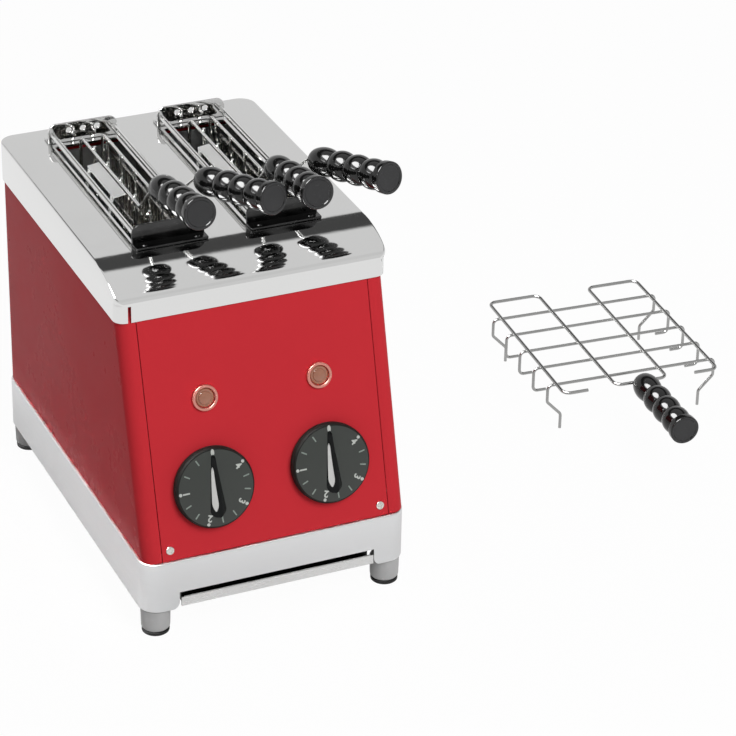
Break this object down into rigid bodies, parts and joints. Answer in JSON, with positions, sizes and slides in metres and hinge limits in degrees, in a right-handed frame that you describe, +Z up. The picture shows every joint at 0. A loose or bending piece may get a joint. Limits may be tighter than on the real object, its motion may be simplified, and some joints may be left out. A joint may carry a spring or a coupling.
{
  "type": "sandwich tong toaster",
  "caption": "Counter toaster with wire sandwich tongs in its slots, timer knobs, pilot lamps, a pull-out crumb tray and a loose tong half beside it.",
  "frame": {"origin": "middle of the footprint of the toaster and its loose tong half, on the surface they stand on", "axes": "+Z up, the front with the knobs faces -Y, +X to the right seen from the front, towards the loose tong half"},
  "size_m": [0.5504, 0.328, 0.3307],
  "materials": {
    "polished_steel": "mirror polish",
    "steel_wire": "bright",
    "satin_alloy": "satin",
    "red_paint": "satin metallic",
    "zinc_sheet": "dull zinc",
    "black_plastic": "gloss",
    "grey_plastic": "matt",
    "black_rubber": "matt",
    "silver_foil": "satin",
    "amber_lens": "clear amber",
    "quartz": "satin"
  },
  "bodies": {
    "toaster": {"base_frame": "satin_alloy", "foot_front_left": "grey_plastic", "foot_pad_front_left": "black_rubber", "foot_front_right": "grey_plastic", "foot_pad_front_right": "black_rubber", "foot_rear_left": "grey_plastic", "foot_pad_rear_left": "black_rubber", "foot_rear_right": "grey_plastic", "foot_pad_rear_right": "black_rubber", "bottom_plate": "zinc_sheet", "left_side_panel": "red_paint", "right_side_panel": "red_paint", "front_panel": "red_paint", "rear_panel": "red_paint", "top_cover": "polished_steel", "front_screw_left": "steel_wire", "front_screw_right": "steel_wire", "cord_gland": "black_plastic", "left_timer": "zinc_sheet", "left_lamp_bezel": "polished_steel", "left_lamp_lens": "amber_lens", "right_timer": "zinc_sheet", "right_lamp_bezel": "polished_steel", "right_lamp_lens": "amber_lens", "chamber_front_wall": "zinc_sheet", "chamber_rear_wall": "zinc_sheet", "left_reflector": "polished_steel", "right_reflector": "polished_steel", "middle_reflector": "polished_steel", "left_slot_heater_left": "quartz", "left_slot_heater_right": "quartz", "right_slot_heater_left": "quartz", "right_slot_heater_right": "quartz", "left_slot_guard_left": "steel_wire", "left_slot_guard_right": "steel_wire", "right_slot_guard_left": "steel_wire", "right_slot_guard_right": "steel_wire", "left_slot_front_bracket": "polished_steel", "left_slot_rear_bracket": "polished_steel", "left_slot_rail_left": "polished_steel", "left_slot_rail_right": "polished_steel", "right_slot_front_bracket": "polished_steel", "right_slot_rear_bracket": "polished_steel", "right_slot_rail_left": "polished_steel", "right_slot_rail_right": "polished_steel"},
    "left_knob": {"left_knob": "black_plastic", "left_knob_inlay": "silver_foil"},
    "right_knob": {"right_knob": "black_plastic", "right_knob_inlay": "silver_foil"},
    "crumb_tray": {"crumb_tray": "satin_alloy"},
    "left_tong": {"left_tong_left_grid": "steel_wire", "left_tong_left_handle": "black_plastic"},
    "left_tong_right_half": {"left_tong_right_grid": "steel_wire", "left_tong_right_handle": "black_plastic"},
    "right_tong": {"right_tong_left_grid": "steel_wire", "right_tong_left_handle": "black_plastic"},
    "right_tong_right_half": {"right_tong_right_grid": "steel_wire", "right_tong_right_handle": "black_plastic"},
    "loose_tong": {"loose_tong_grid": "steel_wire", "loose_tong_handle": "black_plastic"}
  },
  "joints": [
    {"name": "left_knob_turn", "type": "hinge", "parent": "toaster", "child": "left_knob", "pos_m": [-0.21786, -0.14225, 0.10801], "axis": [0, 0.9653, -0.2612], "range_deg": [0, 306]},
    {"name": "right_knob_turn", "type": "hinge", "parent": "toaster", "child": "right_knob", "pos_m": [-0.12946, -0.14225, 0.10801], "axis": [0, 0.9653, -0.2612], "range_deg": [0, 306]},
    {"name": "crumb_tray_slide", "type": "slide", "parent": "toaster", "child": "crumb_tray", "axis": [0, -1, 0], "range_m": [0, 0.25]},
    {"name": "left_tong_lift", "type": "slide", "parent": "toaster", "child": "left_tong", "axis": [0, 0, 1], "range_m": [0, 0.16]},
    {"name": "left_tong_pinch", "type": "hinge", "parent": "left_tong", "child": "left_tong_right_half", "pos_m": [-0.20466, -0.15497, 0.136], "axis": [0, -1, 0], "range_deg": [-0.8, 4]},
    {"name": "right_tong_lift", "type": "slide", "parent": "toaster", "child": "right_tong", "axis": [0, 0, 1], "range_m": [0, 0.16]},
    {"name": "right_tong_pinch", "type": "hinge", "parent": "right_tong", "child": "right_tong_right_half", "pos_m": [-0.11866, -0.15497, 0.136], "axis": [0, -1, 0], "range_deg": [-0.8, 4]},
    {"name": "loose_tong_lift", "type": "slide", "parent": "toaster", "child": "loose_tong", "axis": [0, 0, 1], "range_m": [0, 0.2]}
  ]
}
